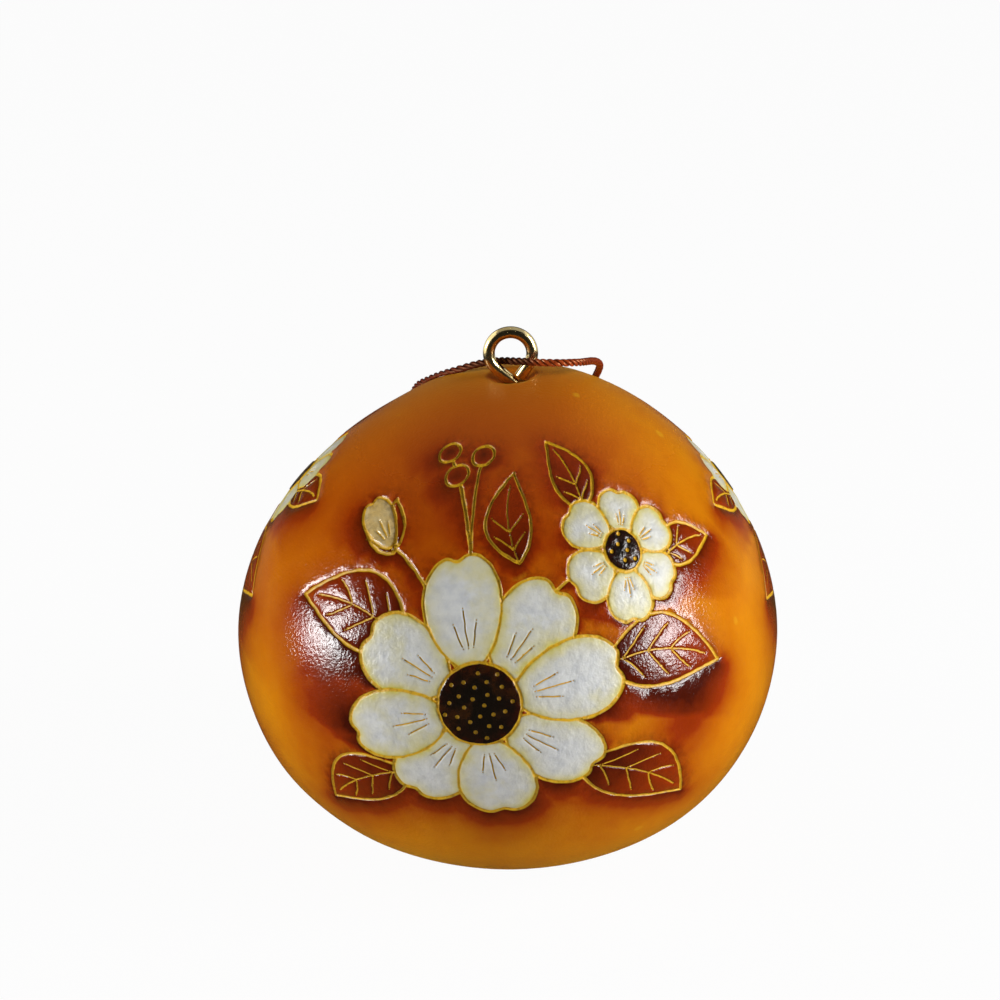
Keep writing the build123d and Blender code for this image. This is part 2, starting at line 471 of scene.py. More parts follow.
# A low shoulder on the crown's left, on which the cord rests
shoulder_place = (-9.6, 9.5)
shoulder_spread = (3.4, 6.0)
shoulder_rise = 0.34
shoulder = shoulder_rise * np.exp(-(((skin[:, :2] - shoulder_place) / shoulder_spread) ** 2).sum(1))
skin[:, 2] += np.where(skin[:, 2] > belly_height, shoulder, 0)

# The pit for the screw eye is sunk into the stem end, which swells to a low collar round it
edge_rounding = 0.2
collar_radius = 8.0
collar_width = 4.5
collar_rise = 0.22
collar_reach = 18.0
bowl_reach = pit_radius + 0.6
bowl_wall_slope = 2
eye_turn = np.array(eye_place.to_3x3())
beside_eye = (skin - np.array(eye_foot)) @ eye_turn
off_axis = np.hypot(beside_eye[:, 0], beside_eye[:, 1])
near_eye = (off_axis < collar_reach) & (skin[:, 2] > belly_height)
bowl = pit_curve - np.sqrt(pit_curve**2 - np.minimum(off_axis, bowl_reach) ** 2)
bowl += bowl_wall_slope * np.maximum(off_axis - bowl_reach, 0)
collar = collar_rise * np.exp(-(((off_axis - collar_radius) / collar_width) ** 2))
height = beside_eye[:, 2] + collar
lower = -edge_rounding * np.logaddexp(-height / edge_rounding, -bowl / edge_rounding)
beside_eye[near_eye, 2] = lower[near_eye]
skin = beside_eye @ eye_turn.T + np.array(eye_foot)

# The skin's mesh, closed by one flat face underneath, with each point's finish as attributes
base_level = 1e-6 - resting_share
line_softness = 1.3
edge_reach = 0.9
gourd_mesh = bpy.data.meshes.new("carved_gourd")
base = np.where(globe[:, 2] < base_level)[0]
base = base[np.argsort(-np.arctan2(globe[base, 1], globe[base, 0]))]
gourd_mesh.from_pydata(skin * MM, [], [*triangles, base.tolist()])
gourd_mesh.polygons.foreach_set("use_smooth", [True] * len(triangles) + [False])
outline = np.clip(line_softness - outline_gap / cut_half["outline"], 0, 1)
for name, values in {
    "white": finish["white"],
    "cream": finish["cream"],
    "ink": finish["ink"],
    "burn": burn,
    "deep": deep,
    "line": np.maximum.reduce([outline, vein, dent]),
    "edge": np.exp(-outline_gap / edge_reach),
}.items():
    values = values.astype(np.float32)
    gourd_mesh.attributes.new(name, "FLOAT", "POINT").data.foreach_set("value", values)
carved_gourd = bpy.data.objects.new("carved_gourd", gourd_mesh)
bpy.context.scene.collection.objects.link(carved_gourd)

# Mottle, the uneven look that every finish here has: a mask of soft lumps of a size in millimetres
mottle = bpy.data.node_groups.new("mottle", "ShaderNodeTree")
for name in ("Size", "Detail", "Low", "High"):
    mottle.interface.new_socket(name, in_out="INPUT", socket_type="NodeSocketFloat")
mottle.interface.new_socket("Mask", in_out="OUTPUT", socket_type="NodeSocketFloat")
mottle_in = mottle.nodes.new("NodeGroupInput")
mottle_out = mottle.nodes.new("NodeGroupOutput")
mottle_place = mottle.nodes.new("ShaderNodeTexCoord")
mottle_scale = mottle.nodes.new("ShaderNodeMath")
mottle_scale.operation = "DIVIDE"
mottle_scale.inputs[0].default_value = 1 / MM
mottle_noise = mottle.nodes.new("ShaderNodeTexNoise")
mottle_noise.inputs["Roughness"].default_value = 0.58
mottle_range = mottle.nodes.new("ShaderNodeMapRange")
mottle.links.new(mottle_in.outputs["Size"], mottle_scale.inputs[1])
mottle.links.new(mottle_scale.outputs["Value"], mottle_noise.inputs["Scale"])
mottle.links.new(mottle_in.outputs["Detail"], mottle_noise.inputs["Detail"])
mottle.links.new(mottle_place.outputs["Object"], mottle_noise.inputs["Vector"])
mottle.links.new(mottle_noise.outputs["Fac"], mottle_range.inputs["Value"])
mottle.links.new(mottle_in.outputs["Low"], mottle_range.inputs["From Min"])
mottle.links.new(mottle_in.outputs["High"], mottle_range.inputs["From Max"])
mottle.links.new(mottle_range.outputs["Result"], mottle_out.inputs["Mask"])


def new_material(name):
    material = bpy.data.materials.new(name)
    material.use_nodes = True
    return material, material.node_tree, material.node_tree.nodes["Principled BSDF"]


def feed(tree, socket, value):
    """Puts a number, a colour or another node's output into a socket."""
    if isinstance(value, bpy.types.NodeSocket):
        tree.links.new(value, socket)
    else:
        socket.default_value = value


def mottled(tree, size, low=0.3, high=0.7, detail=3.0):
    """The mottle's mask, which runs from 0 to 1 between two levels of its lumps."""
    node = tree.nodes.new("ShaderNodeGroup")
    node.node_tree = mottle
    for name, value in (("Size", size), ("Detail", detail), ("Low", low), ("High", high)):
        node.inputs[name].default_value = value
    return node.outputs["Mask"]


def attribute(tree, name):
    node = tree.nodes.new("ShaderNodeAttribute")
    node.attribute_name = name
    return node.outputs["Fac"]


def ranged(tree, value, low, high, to_low=0.0, to_high=1.0):
    node = tree.nodes.new("ShaderNodeMapRange")
    feed(tree, node.inputs["Value"], value)
    node.inputs["From Min"].default_value = low
    node.inputs["From Max"].default_value = high
    node.inputs["To Min"].default_value = to_low
    node.inputs["To Max"].default_value = to_high
    return node.outputs["Result"]


def times(tree, first, second):
    node = tree.nodes.new("ShaderNodeMath")
    node.operation = "MULTIPLY"
    feed(tree, node.inputs[0], first)
    feed(tree, node.inputs[1], second)
    return node.outputs["Value"]


def mixed(tree, share, first, second, kind="RGBA"):
    """A mix of two colours or numbers, where share is how much of the second shows."""
    node = tree.nodes.new("ShaderNodeMix")
    node.data_type = kind
    sockets = [socket for socket in node.inputs if socket.enabled]
    for socket, value in zip(sockets, (share, first, second)):
        feed(tree, socket, value)
    return next(socket for socket in node.outputs if socket.enabled)


def varied(tree, mask, low, high):
    """A number that goes from low to high as a mask goes from 0 to 1."""
    return ranged(tree, mask, 0.0, 1.0, low, high)


def bumped(tree, height, depth):
    """A normal bent by a height, where depth is how far it rises in millimetres."""
    node = tree.nodes.new("ShaderNodeBump")
    node.inputs["Strength"].default_value = 1.0
    node.inputs["Distance"].default_value = depth * MM
    feed(tree, node.inputs["Height"], height)
    return node.outputs["Normal"]


golden_dye = (0.80, 0.280, 0.002, 1)
orange_dye = (0.60, 0.114, 0.001, 1)
pale_fleck = (0.86, 0.42, 0.012, 1)
russet_burn = (0.38, 0.035, 0.001, 1)
dark_burn = (0.070, 0.0045, 0.001, 1)
black_ink = (0.006, 0.0045, 0.004, 1)
brown_ink = (0.075, 0.022, 0.004, 1)
bare_rind = (0.74, 0.57, 0.28, 1)
white_paint = (0.80, 0.81, 0.80, 1)
grey_paint = (0.60, 0.62, 0.66, 1)
yellow_stain = (0.74, 0.66, 0.16, 1)
lemon_rim = (0.72, 0.60, 0.03, 1)
cut_gold = (0.86, 0.49, 0.008, 1)
cut_dark = (0.26, 0.10, 0.003, 1)

gourd_finish, tree, shader = new_material("lacquered_gourd")
white = attribute(tree, "white")
edge = attribute(tree, "edge")

# The dye is deeper on one side and in patches, with a few pale flecks
broad_patches = mottled(tree, size=14, low=0.42, high=0.7, detail=4)
small_patches = mottled(tree, size=3.5, low=0.4, high=0.75, detail=5)
flecks = mottled(tree, size=5.5, low=0.735, high=0.76, detail=1)
dye = mixed(tree, attribute(tree, "deep"), golden_dye, orange_dye)
dye = mixed(tree, times(tree, broad_patches, 0.35), dye, orange_dye)
dye = mixed(tree, times(tree, small_patches, 0.2), dye, orange_dye)
dye = mixed(tree, times(tree, flecks, 0.6), dye, pale_fleck)

# Burns are russet where they are light, and dark brown where the iron stayed
burn_patches = varied(tree, mottled(tree, size=14), 0.8, 1.15)
burn_grain = varied(tree, mottled(tree, size=1.8, detail=5), 0.93, 1.05)
burnt = times(tree, times(tree, attribute(tree, "burn"), burn_patches), burn_grain)
colour = mixed(tree, ranged(tree, burnt, low=0.0, high=0.5), dye, russet_burn)
colour = mixed(tree, ranged(tree, burnt, low=0.42, high=1.0), colour, dark_burn)

# The flowers' heads are inked, and the bud is scraped back to the pale rind
worn_ink = times(tree, mottled(tree, size=2.6, low=0.5, high=0.72, detail=5), 0.7)
left_dye = times(tree, mottled(tree, size=2, low=0.35, detail=4), 0.5)
colour = mixed(tree, attribute(tree, "ink"), colour, mixed(tree, worn_ink, black_ink, brown_ink))
colour = mixed(tree, attribute(tree, "cream"), colour, mixed(tree, left_dye, bare_rind, cut_gold))

# The petals' paint is uneven, stained by the dye and thin along the cuts
thin_daubs = times(tree, mottled(tree, size=1.3, low=0.4, detail=6), 0.7)
stain = times(tree, mottled(tree, size=6, low=0.5, detail=4), 0.5)
thin_edge = times(tree, edge, varied(tree, mottled(tree, size=2.5, low=0.35, high=0.65), 0.6, 1.2))
paint_colour = mixed(tree, thin_daubs, white_paint, grey_paint)
paint_colour = mixed(tree, stain, paint_colour, yellow_stain)
paint_colour = mixed(tree, thin_edge, paint_colour, lemon_rim)
colour = mixed(tree, white, colour, paint_colour)

# Beside each cut, a dark rim of burr and painted groove shade; in the cut, bared golden rind
burr_and_groove_shade = times(tree, edge, varied(tree, mottled(tree, size=0.8, low=0.45, high=0.6), 0.15, 0.6))
unpainted_burr_and_shade = times(tree, burr_and_groove_shade, varied(tree, white, 1.0, 0.0))
cut_mask = ranged(tree, attribute(tree, "line"), low=0.3, high=0.62)
cut_dirt = times(tree, mottled(tree, size=0.6, low=0.5, high=0.68), 0.5)
colour = mixed(tree, unpainted_burr_and_shade, colour, dark_burn)
colour = mixed(tree, cut_mask, colour, mixed(tree, cut_dirt, cut_gold, cut_dark))
feed(tree, shader.inputs["Base Color"], colour)

# The lacquer is rubbed duller at the stem end, and lies thin on the paint and in the cuts
handled_from = 51
handled_to = 60
handled_dullness = 0.40
paint_dullness = 0.36
cut_dullness = 0.42
place = tree.nodes.new("ShaderNodeTexCoord")
level = tree.nodes.new("ShaderNodeSeparateXYZ")
tree.links.new(place.outputs["Object"], level.inputs["Vector"])
handled = ranged(tree, level.outputs["Z"], low=handled_from * MM, high=handled_to * MM)
dullness = varied(tree, mottled(tree, size=3), 0.12, 0.19)
dullness = mixed(tree, handled, dullness, handled_dullness, "FLOAT")
dullness = mixed(tree, white, dullness, paint_dullness, "FLOAT")
dullness = mixed(tree, cut_mask, dullness, cut_dullness, "FLOAT")
feed(tree, shader.inputs["Roughness"], dullness)
ripple = mottled(tree, size=0.4, low=0.0, high=1.0, detail=2)
daub = times(tree, mottled(tree, size=1.1, low=0.0, high=1.0, detail=6), 3.0)
feed(tree, shader.inputs["Normal"], bumped(tree, mixed(tree, white, ripple, daub, "FLOAT"), 0.06))
shader.inputs["Sheen Weight"].default_value = 0.25
shader.inputs["Sheen Roughness"].default_value = 0.4
shader.inputs["Sheen Tint"].default_value = (1.0, 0.62, 0.03, 1)
gourd_mesh.materials.append(gourd_finish)
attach(carved_gourd, "gourd")
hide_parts("gourd_shell")

# Screw eye. A length of brass-plated wire is bent into a ring on a threaded shank, which is
# screwed down into the pit at the stem end until the ring's foot is below the rim.
wire_radius = 0.75
eye_radius = 2.72
eye_height = 4.07
limb_slope = math.asin(eye_radius / eye_height)
limb_length = math.sqrt(eye_height**2 - eye_radius**2)
bend_radius = 1.3
bend_run = bend_radius * math.tan(limb_slope / 2)
eye_gap = 1.1
neck_length = 1.2
thread_length = 5.5
thread_pitch = 0.7
thread_radius = 0.82
core_radius = 0.58
point_length = 1.0
end_rounding = 0.14
ridge_half = 0.2
ridge_root = core_radius - 0.03
wire_sides = 40
bend_steps = 10
ring_steps = 72
steps_per_turn = 24


def drawn_out(bm, edges, shift):
    """Extends an open tube's last ring of edges by a straight run, and gives the new ring."""
    grown = bmesh.ops.extrude_edge_only(bm, edges=edges)["geom"]
    verts = [part for part in grown if isinstance(part, bmesh.types.BMVert)]
    bmesh.ops.translate(bm, verts=verts, vec=shift)
    return [part for part in grown if isinstance(part, bmesh.types.BMEdge) and part.is_boundary]


def bent(bm, edges, centre, axis, angle, steps):
    """Bends an open tube's last ring of edges round a centre, and gives the new ring."""
    turned = bmesh.ops.spin(bm, geom=edges, cent=centre, axis=axis, angle=angle, steps=steps)
    return [part for part in turned["geom_last"] if isinstance(part, bmesh.types.BMEdge)]


def verts_of(edges):
    """The ends of some edges, each once and in order."""
    return list(dict.fromkeys(vert for edge in edges for vert in edge.verts))


def finished_piece(bm, name, place, material):
    """Makes a smooth piece of a bmesh drawn in millimetres, moved to its place."""
    bmesh.ops.recalc_face_normals(bm, faces=bm.faces)
    bm.transform(Matrix.Scale(MM, 4) @ place)
    mesh = bpy.data.meshes.new(name)
    bm.to_mesh(mesh)
    bm.free()
    mesh.polygons.foreach_set("use_smooth", [True] * len(mesh.polygons))
    mesh.materials.append(material)
    piece = bpy.data.objects.new(name, mesh)
    bpy.context.scene.collection.objects.link(piece)
    return piece


bm = bmesh.new()
start = Matrix.Translation((0, 0, -neck_length))
bmesh.ops.create_circle(bm, segments=wire_sides, radius=wire_radius, matrix=start)
neck_end = list(bm.edges)
tube_end = drawn_out(bm, neck_end, (0, 0, neck_length - bend_run))
tube_end = bent(bm, tube_end, (-bend_radius, 0, -bend_run), (0, -1, 0), limb_slope, bend_steps)
limb = Vector((-math.sin(limb_slope), 0, math.cos(limb_slope)))
tube_end = drawn_out(bm, tube_end, limb * (limb_length - bend_run))
tube_end = bent(bm, tube_end, (0, 0, eye_height), (0, 1, 0), math.pi + 2 * limb_slope, ring_steps)
end_limb = Vector((-math.sin(limb_slope), 0, -math.cos(limb_slope)))
tube_end = drawn_out(bm, tube_end, end_limb * (limb_length - eye_gap))
bmesh.ops.edgeloop_fill(bm, edges=tube_end)
bmesh.ops.bevel(
    bm, geom=tube_end, offset=end_rounding, affect="EDGES", segments=3, profile=0.5, material=-1
)
core_end = drawn_out(bm, neck_end, (0, 0, 0))
narrow = Matrix.Diagonal((core_radius / wire_radius, core_radius / wire_radius, 1, 1))
bmesh.ops.transform(bm, matrix=narrow, verts=verts_of(core_end))
core_end = drawn_out(bm, core_end, (0, 0, -thread_length))
tip = drawn_out(bm, core_end, (0, 0, -point_length))
bmesh.ops.pointmerge(
    bm, verts=verts_of(tip), merge_co=(0, 0, -neck_length - thread_length - point_length)
)
thread_climb = thread_length - thread_pitch / 2
thread_turns = thread_climb / thread_pitch
thread_steps = int(thread_turns * steps_per_turn)
ridge = [
    bm.verts.new((ridge_root, 0, -neck_length - thread_length + rise))
    for rise in (-ridge_half, 0.0, ridge_half)
]
ridge[1].co.x = thread_radius
ridge_edges = [bm.edges.new(ridge[0:2]), bm.edges.new(ridge[1:3])]
bmesh.ops.spin(
    bm,
    geom=ridge + ridge_edges,
    cent=(0, 0, 0),
    axis=(0, 0, 1),
    angle=thread_turns * 2 * math.pi,
    steps=thread_steps,
    dvec=(0, 0, thread_climb / thread_steps),
)

brass_pale = (0.80, 0.64, 0.32, 1)
brass_deep = (0.64, 0.47, 0.18, 1)
brass_finish, tree, shader = new_material("polished_brass")
plate = mixed(tree, mottled(tree, size=2.5, low=0.35, detail=4), brass_pale, brass_deep)
feed(tree, shader.inputs["Base Color"], plate)
shader.inputs["Metallic"].default_value = 1.0
polish = mottled(tree, size=0.8, high=0.75, detail=4)
drawn_marks = mottled(tree, size=0.5, low=0.0, high=1.0, detail=2)
feed(tree, shader.inputs["Roughness"], varied(tree, polish, 0.16, 0.23))
feed(tree, shader.inputs["Normal"], bumped(tree, drawn_marks, 0.003))
screw_eye = finished_piece(bm, "brass_screw_eye", eye_place, brass_finish)
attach(screw_eye, "gourd")
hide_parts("screw_eye")

# Glue bead. Amber glue run into the pit round the screw eye's foot, where it set as a shallow
# dome with a rim that creeps up the pit's wall.
glue_height = 0.4
glue_dome = 4.0
glue_steps = 40
glue_shares = (0, 0.25, 0.5, 0.75, 0.92, 1)
merge_gap = 0.001
dome_sunk = glue_dome - glue_height
rim_height = (glue_dome**2 - dome_sunk**2) / (2 * (pit_curve + dome_sunk))
rim_radius = math.sqrt(2 * pit_curve * rim_height - rim_height**2)
bm = bmesh.new()
profile = []
for share in glue_shares:
    radius = rim_radius * share
    profile.append((radius, math.sqrt(glue_dome**2 - radius**2) - dome_sunk))
for share in reversed(glue_shares[:-1]):
    radius = rim_radius * share
    profile.append((radius, pit_curve - math.sqrt(pit_curve**2 - radius**2)))
verts = [bm.verts.new((radius, 0, rise)) for radius, rise in profile]
edges = [bm.edges.new(pair) for pair in zip(verts, verts[1:])]
bmesh.ops.spin(
    bm,
    geom=verts + edges,
    cent=(0, 0, 0),
    axis=(0, 0, 1),
    angle=2 * math.pi,
    steps=glue_steps,
    use_merge=True,
)
bmesh.ops.remove_doubles(bm, verts=bm.verts, dist=merge_gap)

glue_finish, tree, shader = new_material("amber_glue")
glue_amber = (0.42, 0.17, 0.012, 1)
glue_brown = (0.22, 0.06, 0.004, 1)
glue_colour = mixed(tree, mottled(tree, size=1.2), glue_amber, glue_brown)
glue_waves = mottled(tree, size=0.8, low=0.0, high=1.0, detail=2)
feed(tree, shader.inputs["Base Color"], glue_colour)
feed(tree, shader.inputs["Roughness"], varied(tree, mottled(tree, size=0.7), 0.05, 0.2))
feed(tree, shader.inputs["Normal"], bumped(tree, glue_waves, 0.08))
glue_bead = finished_piece(bm, "set_glue", eye_place, glue_finish)
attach(glue_bead, "gourd")
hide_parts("glue_bead")

# Seeds. The gourd's own dry seeds lie loose in its hollow and rattle. They are flat, with a
# pale brown coat that is darker in patches and finely wrinkled.
seed_finish, tree, shader = new_material("dry_seed")
seed_pale = (0.58, 0.42, 0.23, 1)
seed_brown = (0.30, 0.18, 0.08, 1)
seed_colour = mixed(tree, mottled(tree, size=2.5, low=0.35, detail=5), seed_pale, seed_brown)
seed_wrinkles = mottled(tree, size=0.5, low=0.0, high=1.0, detail=4)
feed(tree, shader.inputs["Base Color"], seed_colour)
feed(tree, shader.inputs["Roughness"], varied(tree, mottled(tree, size=1.0), 0.55, 0.75))
feed(tree, shader.inputs["Normal"], bumped(tree, seed_wrinkles, 0.06))
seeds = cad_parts["seeds"]
seeds.data.materials.clear()
seeds.data.materials.append(seed_finish)

# Hanging cord. One length of silky red-brown cord, three plies laid in a right-handed twist that
# has loosened on the left. It runs through the eye, lies pressed on the crown and hangs down
# behind, where its ends are tied. Shade is painted on its left run, darkest in the eye.
ply_radius = 0.258
ply_offset = 0.242
resting_gap = 0.02
groove_level = 0.34
crest_level = 0.48
lay_length = 2.6
slack_lay_length = 4.4
slack_start = -2.0
slack_run = 4.0
fray_spread = 1.3
cord_steps = 24
cord_route = [
    (-0.55, 35.9, 12.2),
    (-0.55, 35.9, 14.0),
    (-1.2, 35.9, 16.6),
    (-3.4, 35.9, 20.6),
    (-6.2, 35.5, 25.8),
    (-8.9, 34.65, 31.4),
    (-10.9, 32.95, 37.0),
    (-12.4, 30.0, 42.6),
    (-13.2, 25.9, 48.0),
    (-13.0, 20.7, 53.0),
    (-12.0, 14.8, 57.1),
    (-10.4, 11.55, 58.9),
    (-8.6, 8.5, 60.65),
    (-6.5, 5.5, 62.24),
    (-4.0, 3.05, 63.82),
    (-1.5, 1.3, 64.85),
    (1.7, -0.86, 65.45),
    (4.8, -2.65, 65.82),
    (7.5, -2.2, 65.68),
    (9.3, -0.2, 65.1),
    (10.6, 3.2, 64.2),
    (11.4, 6.6, 63.0),
    (11.9, 9.6, 61.6),
    (11.8, 12.2, 60.0),
    (11.5, 15.0, 58.3),
    (11.1, 19.3, 55.5),
    (10.8, 24.4, 51.2),
    (10.3, 28.85, 46.0),
    (9.5, 32.25, 40.2),
    (8.2, 34.4, 34.4),
    (6.3, 35.35, 28.8),
    (4.2, 35.8, 23.6),
    (2.3, 35.9, 19.4),
    (1.0, 35.9, 16.2),
    (0.55, 35.9, 13.9),
    (0.55, 35.9, 12.2),
]


def smooth_line(name, points, steps):
    """Points along the smooth spline that has the given points as its controls, in metres."""
    curve = bpy.data.curves.new(name, "CURVE")
    curve.dimensions = "3D"
    curve.resolution_u = steps
    spline = curve.splines.new("NURBS")
    spline.points.add(len(points) - 1)
    for control, point in zip(spline.points, points):
        control.co = (*(Vector(point) * MM), 1)
    spline.order_u = 3
    spline.use_endpoint_u = True
    guide = bpy.data.objects.new(name, curve)
    bpy.context.scene.collection.objects.link(guide)
    mesh = bpy.data.meshes.new_from_object(guide)
    line = [vert.co.copy() for vert in mesh.vertices]
    bpy.data.objects.remove(guide)
    bpy.data.curves.remove(curve)
    bpy.data.meshes.remove(mesh)
    return line


def twisted_plies(line, start_turn=0.0, fray=0.0):
    """Three plies laid round a line. Fray is the length at its end over which they spread."""
    ahead = [(after - before).normalized() for before, after in zip(line, line[1:])]
    ahead.append(ahead[-1])
    side = ahead[0].orthogonal().normalized()
    run = [0.0]
    turns = [0.0]
    for before, after in zip(line, line[1:]):
        step = (after - before).length
        slack = min(max((slack_start * MM - after.x) / (slack_run * MM), 0), 1)
        lay = lay_length + (slack_lay_length - lay_length) * slack
        run.append(run[-1] + step)
        turns.append(turns[-1] + step / (lay * MM))
    plies = [[], [], []]
    for number, spot in enumerate(line):
        side = (side - ahead[number] * side.dot(ahead[number])).normalized()
        up = ahead[number].cross(side)
        left = run[-1] - run[number]
        spread = 1 + (fray_spread * (1 - left / fray) ** 2 if left < fray else 0)
        for ply in range(3):
            angle = start_turn + 2 * math.pi * (turns[number] / spread + ply / 3)
            offset = side * math.cos(angle) + up * math.sin(angle)
            plies[ply].append(spot + offset * ply_offset * MM * spread)
    return plies


rind_surface = bvhtree.BVHTree.FromPolygons(
    [vert.co for vert in gourd_mesh.vertices],
    [face.vertices for face in gourd_mesh.polygons],
)


def laid_on_rind(plies):
    """Plies of a limp cord, pressed flat where they would sink into the rind under them."""
    for ply in plies:
        for spot in ply:
            touch, outward, _, _ = rind_surface.find_nearest(spot)
            short = (ply_radius + resting_gap) * MM - (spot - touch).dot(outward)
            if short > 0:
                spot += outward * short
    return plies


def ply_mesh(name, plies, material):
    """A mesh of round plies along their lines, with how far each point stands out of the grooves."""
    curve = bpy.data.curves.new(name, "CURVE")
    curve.dimensions = "3D"
    curve.bevel_depth = ply_radius * MM
    curve.bevel_resolution = 2
    curve.use_fill_caps = True
    for ply in plies:
        spline = curve.splines.new("POLY")
        spline.points.add(len(ply) - 1)
        for control, spot in zip(spline.points, ply):
            control.co = (*spot, 1)
        spline.use_smooth = True
    guide = bpy.data.objects.new(name, curve)
    bpy.context.scene.collection.objects.link(guide)
    mesh = bpy.data.meshes.new_from_object(guide)
    bpy.data.objects.remove(guide)
    bpy.data.curves.remove(curve)
    mesh.materials.clear()
    mesh.materials.append(material)
    threes = [plies[first : first + 3] for first in range(0, len(plies), 3)]
    middles = tree_of([sum(spots, Vector()) / 3 for three in threes for spots in zip(*three)])
    off_middle = np.array([middles.find(vert.co)[2] for vert in mesh.vertices]) / MM
    crest = np.clip((off_middle - groove_level) / (crest_level - groove_level), 0, 1)
    crest = crest.astype(np.float32)
    mesh.attributes.new("crest", "FLOAT", "POINT").data.foreach_set("value", crest)
    piece = bpy.data.objects.new(name, mesh)
    bpy.context.scene.collection.objects.link(piece)
    return piece


cord_finish, tree, shader = new_material("silky_cord")
cord_red = (0.54, 0.090, 0.018, 1)
cord_brown = (0.13, 0.010, 0.003, 1)
shaded_left_maroon = (0.16, 0.014, 0.005, 1)
eye_shade_maroon = (0.055, 0.004, 0.001, 1)
painted_groove_shade = (0.035, 0.003, 0.001, 1)
place = tree.nodes.new("ShaderNodeTexCoord")
across = tree.nodes.new("ShaderNodeSeparateXYZ")
tree.links.new(place.outputs["Object"], across.inputs["Vector"])
# Painted shade along the cord: dark on its left run, darkest in the eye, own red past the eye
eye_shade_share = ranged(tree, across.outputs["X"], low=-8 * MM, high=-3 * MM)
clear_of_left_shade = ranged(tree, across.outputs["X"], low=2.4 * MM, high=4.2 * MM)
# Painted shade: browner towards the cord's right end
right_end_shade = ranged(tree, across.outputs["X"], low=7 * MM, high=9.5 * MM, to_high=0.55)
cord_colour = mixed(tree, mottled(tree, size=0.35, low=0.5, high=0.75), cord_red, cord_brown)
cord_colour = mixed(tree, right_end_shade, cord_colour, cord_brown)
painted_left_shade = mixed(tree, eye_shade_share, shaded_left_maroon, eye_shade_maroon)
cord_colour = mixed(tree, clear_of_left_shade, painted_left_shade, cord_colour)
# Painted shade in the grooves between the plies, where crest is low
cord_colour = mixed(tree, attribute(tree, "crest"), painted_groove_shade, cord_colour)
feed(tree, shader.inputs["Base Color"], cord_colour)
silk = varied(tree, mottled(tree, size=0.3), 0.2, 0.32)
feed(tree, shader.inputs["Roughness"], mixed(tree, clear_of_left_shade, 0.5, silk, "FLOAT"))
shader.inputs["Specular IOR Level"].default_value = 1.0
shader.inputs["Specular Tint"].default_value = (1.0, 0.45, 0.18, 1)
fibres = mottled(tree, size=0.16, low=0.0, high=1.0, detail=2)
feed(tree, shader.inputs["Normal"], bumped(tree, fibres, 0.012))

cord_line = smooth_line("cord_line", cord_route, cord_steps)
hanging_cord = ply_mesh("hanging_cord_plies", laid_on_rind(twisted_plies(cord_line)), cord_finish)
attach(hanging_cord, "cord")
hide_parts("hanging_cord")

# Knot. The cord's two ends are passed round each other and drawn up tight, and their cut tails
# hang below and fray a little.
knot_centre = Vector((0, 35.9, 10.5))
wrap_radius = 1.15
wrap_bottom = -1.15
wrap_rise = 1.9
wrap_start = 60
wrap_steps = 14
steps_per_wrap = 12
fray_length = 2.2
knot_steps = 16
way_in = [(0.55, 0, 1.7), (0.5, 0, 0.9), (0.42, 0.1, -0.5), (0.7, 0.45, -1.25)]
way_out = [(0.15, 0.5, 1.2), (0.05, 0.42, 0.2), (0.35, 0.3, -1.4)]
tail = [(0.8, 0.1, -3.2), (1.25, 0, -5.0), (1.5, 0, -6.9)]
wrap = []
for step in range(wrap_steps):
    angle = math.radians(wrap_start + 360 / steps_per_wrap * step)
    rise = wrap_bottom + wrap_rise * step / steps_per_wrap
    wrap.append((wrap_radius * math.cos(angle), wrap_radius * math.sin(angle), rise))
knot_plies = []
for side in (-1, 1):
    route = [knot_centre + Vector((side * x, side * y, z)) for x, y, z in way_in + wrap + way_out + tail]
    line = smooth_line("knot_line", route, knot_steps)
    knot_plies += twisted_plies(line, start_turn=side, fray=fray_length * MM)
cord_knot = ply_mesh("tied_knot", knot_plies, cord_finish)
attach(cord_knot, "cord")
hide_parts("cord_knot")

# Studio. A pale floor under a white surround, two window panes on the right and one on the left,
# pale cards that light the brass alone, and the camera a little above the gourd in front of it.
floor_half = 3.0
floor_white = 0.96
floor_mesh = bpy.data.meshes.new("studio_floor")
bm = bmesh.new()
bmesh.ops.create_grid(bm, x_segments=1, y_segments=1, size=floor_half)
bm.to_mesh(floor_mesh)
bm.free()
floor = bpy.data.objects.new("studio_floor", floor_mesh)
bpy.context.scene.collection.objects.link(floor)


def mirrored_or_through(tree, rays):
    """1 for a ray that comes by a reflection or through glass."""
    node = tree.nodes.new("ShaderNodeMath")
    node.operation = "MAXIMUM"
    tree.links.new(rays.outputs["Is Glossy Ray"], node.inputs[0])
    tree.links.new(rays.outputs["Is Transmission Ray"], node.inputs[1])
    return node.outputs["Value"]


# The camera sees the floor as white with a trace of its shadow. A reflection sees only a dim glow,
# which grows towards the back.
floor_finish, tree, shader = new_material("pale_floor")
shader.inputs["Base Color"].default_value = (0.80, 0.80, 0.79, 1)
shader.inputs["Roughness"].default_value = 0.9
rays = tree.nodes.new("ShaderNodeLightPath")
glow = tree.nodes.new("ShaderNodeEmission")
glow.inputs["Color"].default_value = (1, 1, 1, 1)
place = tree.nodes.new("ShaderNodeTexCoord")
spot = tree.nodes.new("ShaderNodeSeparateXYZ")
tree.links.new(place.outputs["Object"], spot.inputs["Vector"])
back_glow = ranged(tree, spot.outputs["Y"], low=0.16, high=0.30, to_low=0.02, to_high=0.15)
glow_strength = mixed(tree, rays.outputs["Is Camera Ray"], back_glow, 1.0, "FLOAT")
tree.links.new(glow_strength, glow.inputs["Strength"])
glow_share = mirrored_or_through(tree, rays)
glow_share = mixed(tree, rays.outputs["Is Camera Ray"], glow_share, floor_white, "FLOAT")
blend = tree.nodes.new("ShaderNodeMixShader")
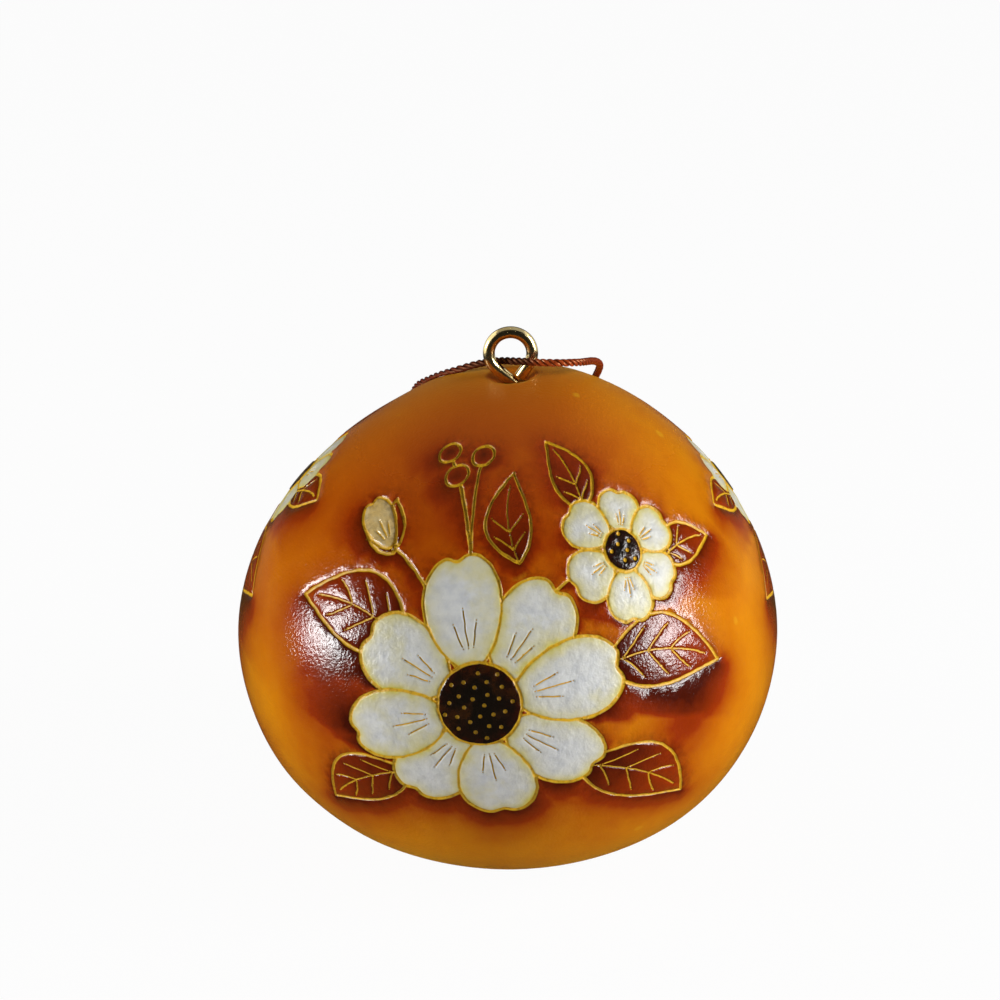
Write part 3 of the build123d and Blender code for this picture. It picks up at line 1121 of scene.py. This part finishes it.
tree.links.new(glow_share, blend.inputs["Fac"])
tree.links.new(shader.outputs["BSDF"], blend.inputs[1])
tree.links.new(glow.outputs["Emission"], blend.inputs[2])
tree.links.new(blend.outputs["Shader"], tree.nodes["Material Output"].inputs["Surface"])
floor_mesh.materials.append(floor_finish)

# The surround is white to the camera, soft light on the object, and dim in reflections
surround_light = 0.13
world = bpy.data.worlds.new("studio_surround")
bpy.context.scene.world = world
world.use_nodes = True
tree = world.node_tree
rays = tree.nodes.new("ShaderNodeLightPath")
direction = tree.nodes.new("ShaderNodeTexCoord")
split = tree.nodes.new("ShaderNodeSeparateXYZ")
tree.links.new(direction.outputs["Generated"], split.inputs["Vector"])
behind = ranged(tree, split.outputs["Y"], low=0.85, high=1.0, to_low=0.01, to_high=0.06)
strength = mixed(tree, mirrored_or_through(tree, rays), surround_light, behind, "FLOAT")
strength = mixed(tree, rays.outputs["Is Camera Ray"], strength, 1.0, "FLOAT")
tree.nodes["Background"].inputs["Color"].default_value = (1, 1, 1, 1)
tree.links.new(strength, tree.nodes["Background"].inputs["Strength"])

# Each lamp's way from the middle of the gourd, its distance, width and height in metres, its power
# in watts and what it lights
look_at = Vector((0, 0, 28.73 * MM))
brass_only = bpy.data.collections.new("brass_only")
brass_only.objects.link(screw_eye)
for name, direction, distance, width, height, power, lit in (
    ("right_upper_window", (0.87, -0.20, 0.44), 0.6, 0.17, 0.17, 1.5, None),
    ("right_lower_window", (0.91, -0.36, 0.17), 0.6, 0.17, 0.17, 1.85, None),
    ("left_window", (-0.97, -0.15, 0.17), 0.6, 0.19, 0.17, 2.5, None),
    ("right_card", (0.98, 0.12, 0.17), 0.22, 0.44, 0.40, 0.4, brass_only),
    ("left_card", (-0.98, 0.12, 0.17), 0.22, 0.44, 0.40, 0.75, brass_only),
    ("top_card", (0, 0.25, 0.97), 0.28, 0.64, 0.40, 0.34, brass_only),
):
    light = bpy.data.lights.new(name, "AREA")
    light.shape = "RECTANGLE"
    light.size = width
    light.size_y = height
    light.energy = power
    lamp = bpy.data.objects.new(name, light)
    way = Vector(direction).normalized()
    lamp.location = look_at + way * distance
    lamp.rotation_mode = "QUATERNION"
    lamp.rotation_quaternion = way.to_track_quat("Z", "Y")
    lamp.light_linking.receiver_collection = lit
    bpy.context.scene.collection.objects.link(lamp)

camera_distance = 0.4
camera_rise = math.radians(23)
picture_width = 0.1304
camera_data = bpy.data.cameras.new("camera")
camera_data.sensor_width = 36
camera_data.lens = camera_data.sensor_width * camera_distance / picture_width
camera_data.shift_x = -0.008
camera_data.shift_y = 0.128
camera = bpy.data.objects.new("camera", camera_data)
camera_way = Vector((0, -math.cos(camera_rise), math.sin(camera_rise)))
camera.location = look_at + camera_distance * camera_way
camera.rotation_euler = (math.pi / 2 - camera_rise, 0, 0)
bpy.context.scene.collection.objects.link(camera)
bpy.context.scene.camera = camera
bpy.context.scene.view_settings.view_transform = "Standard"
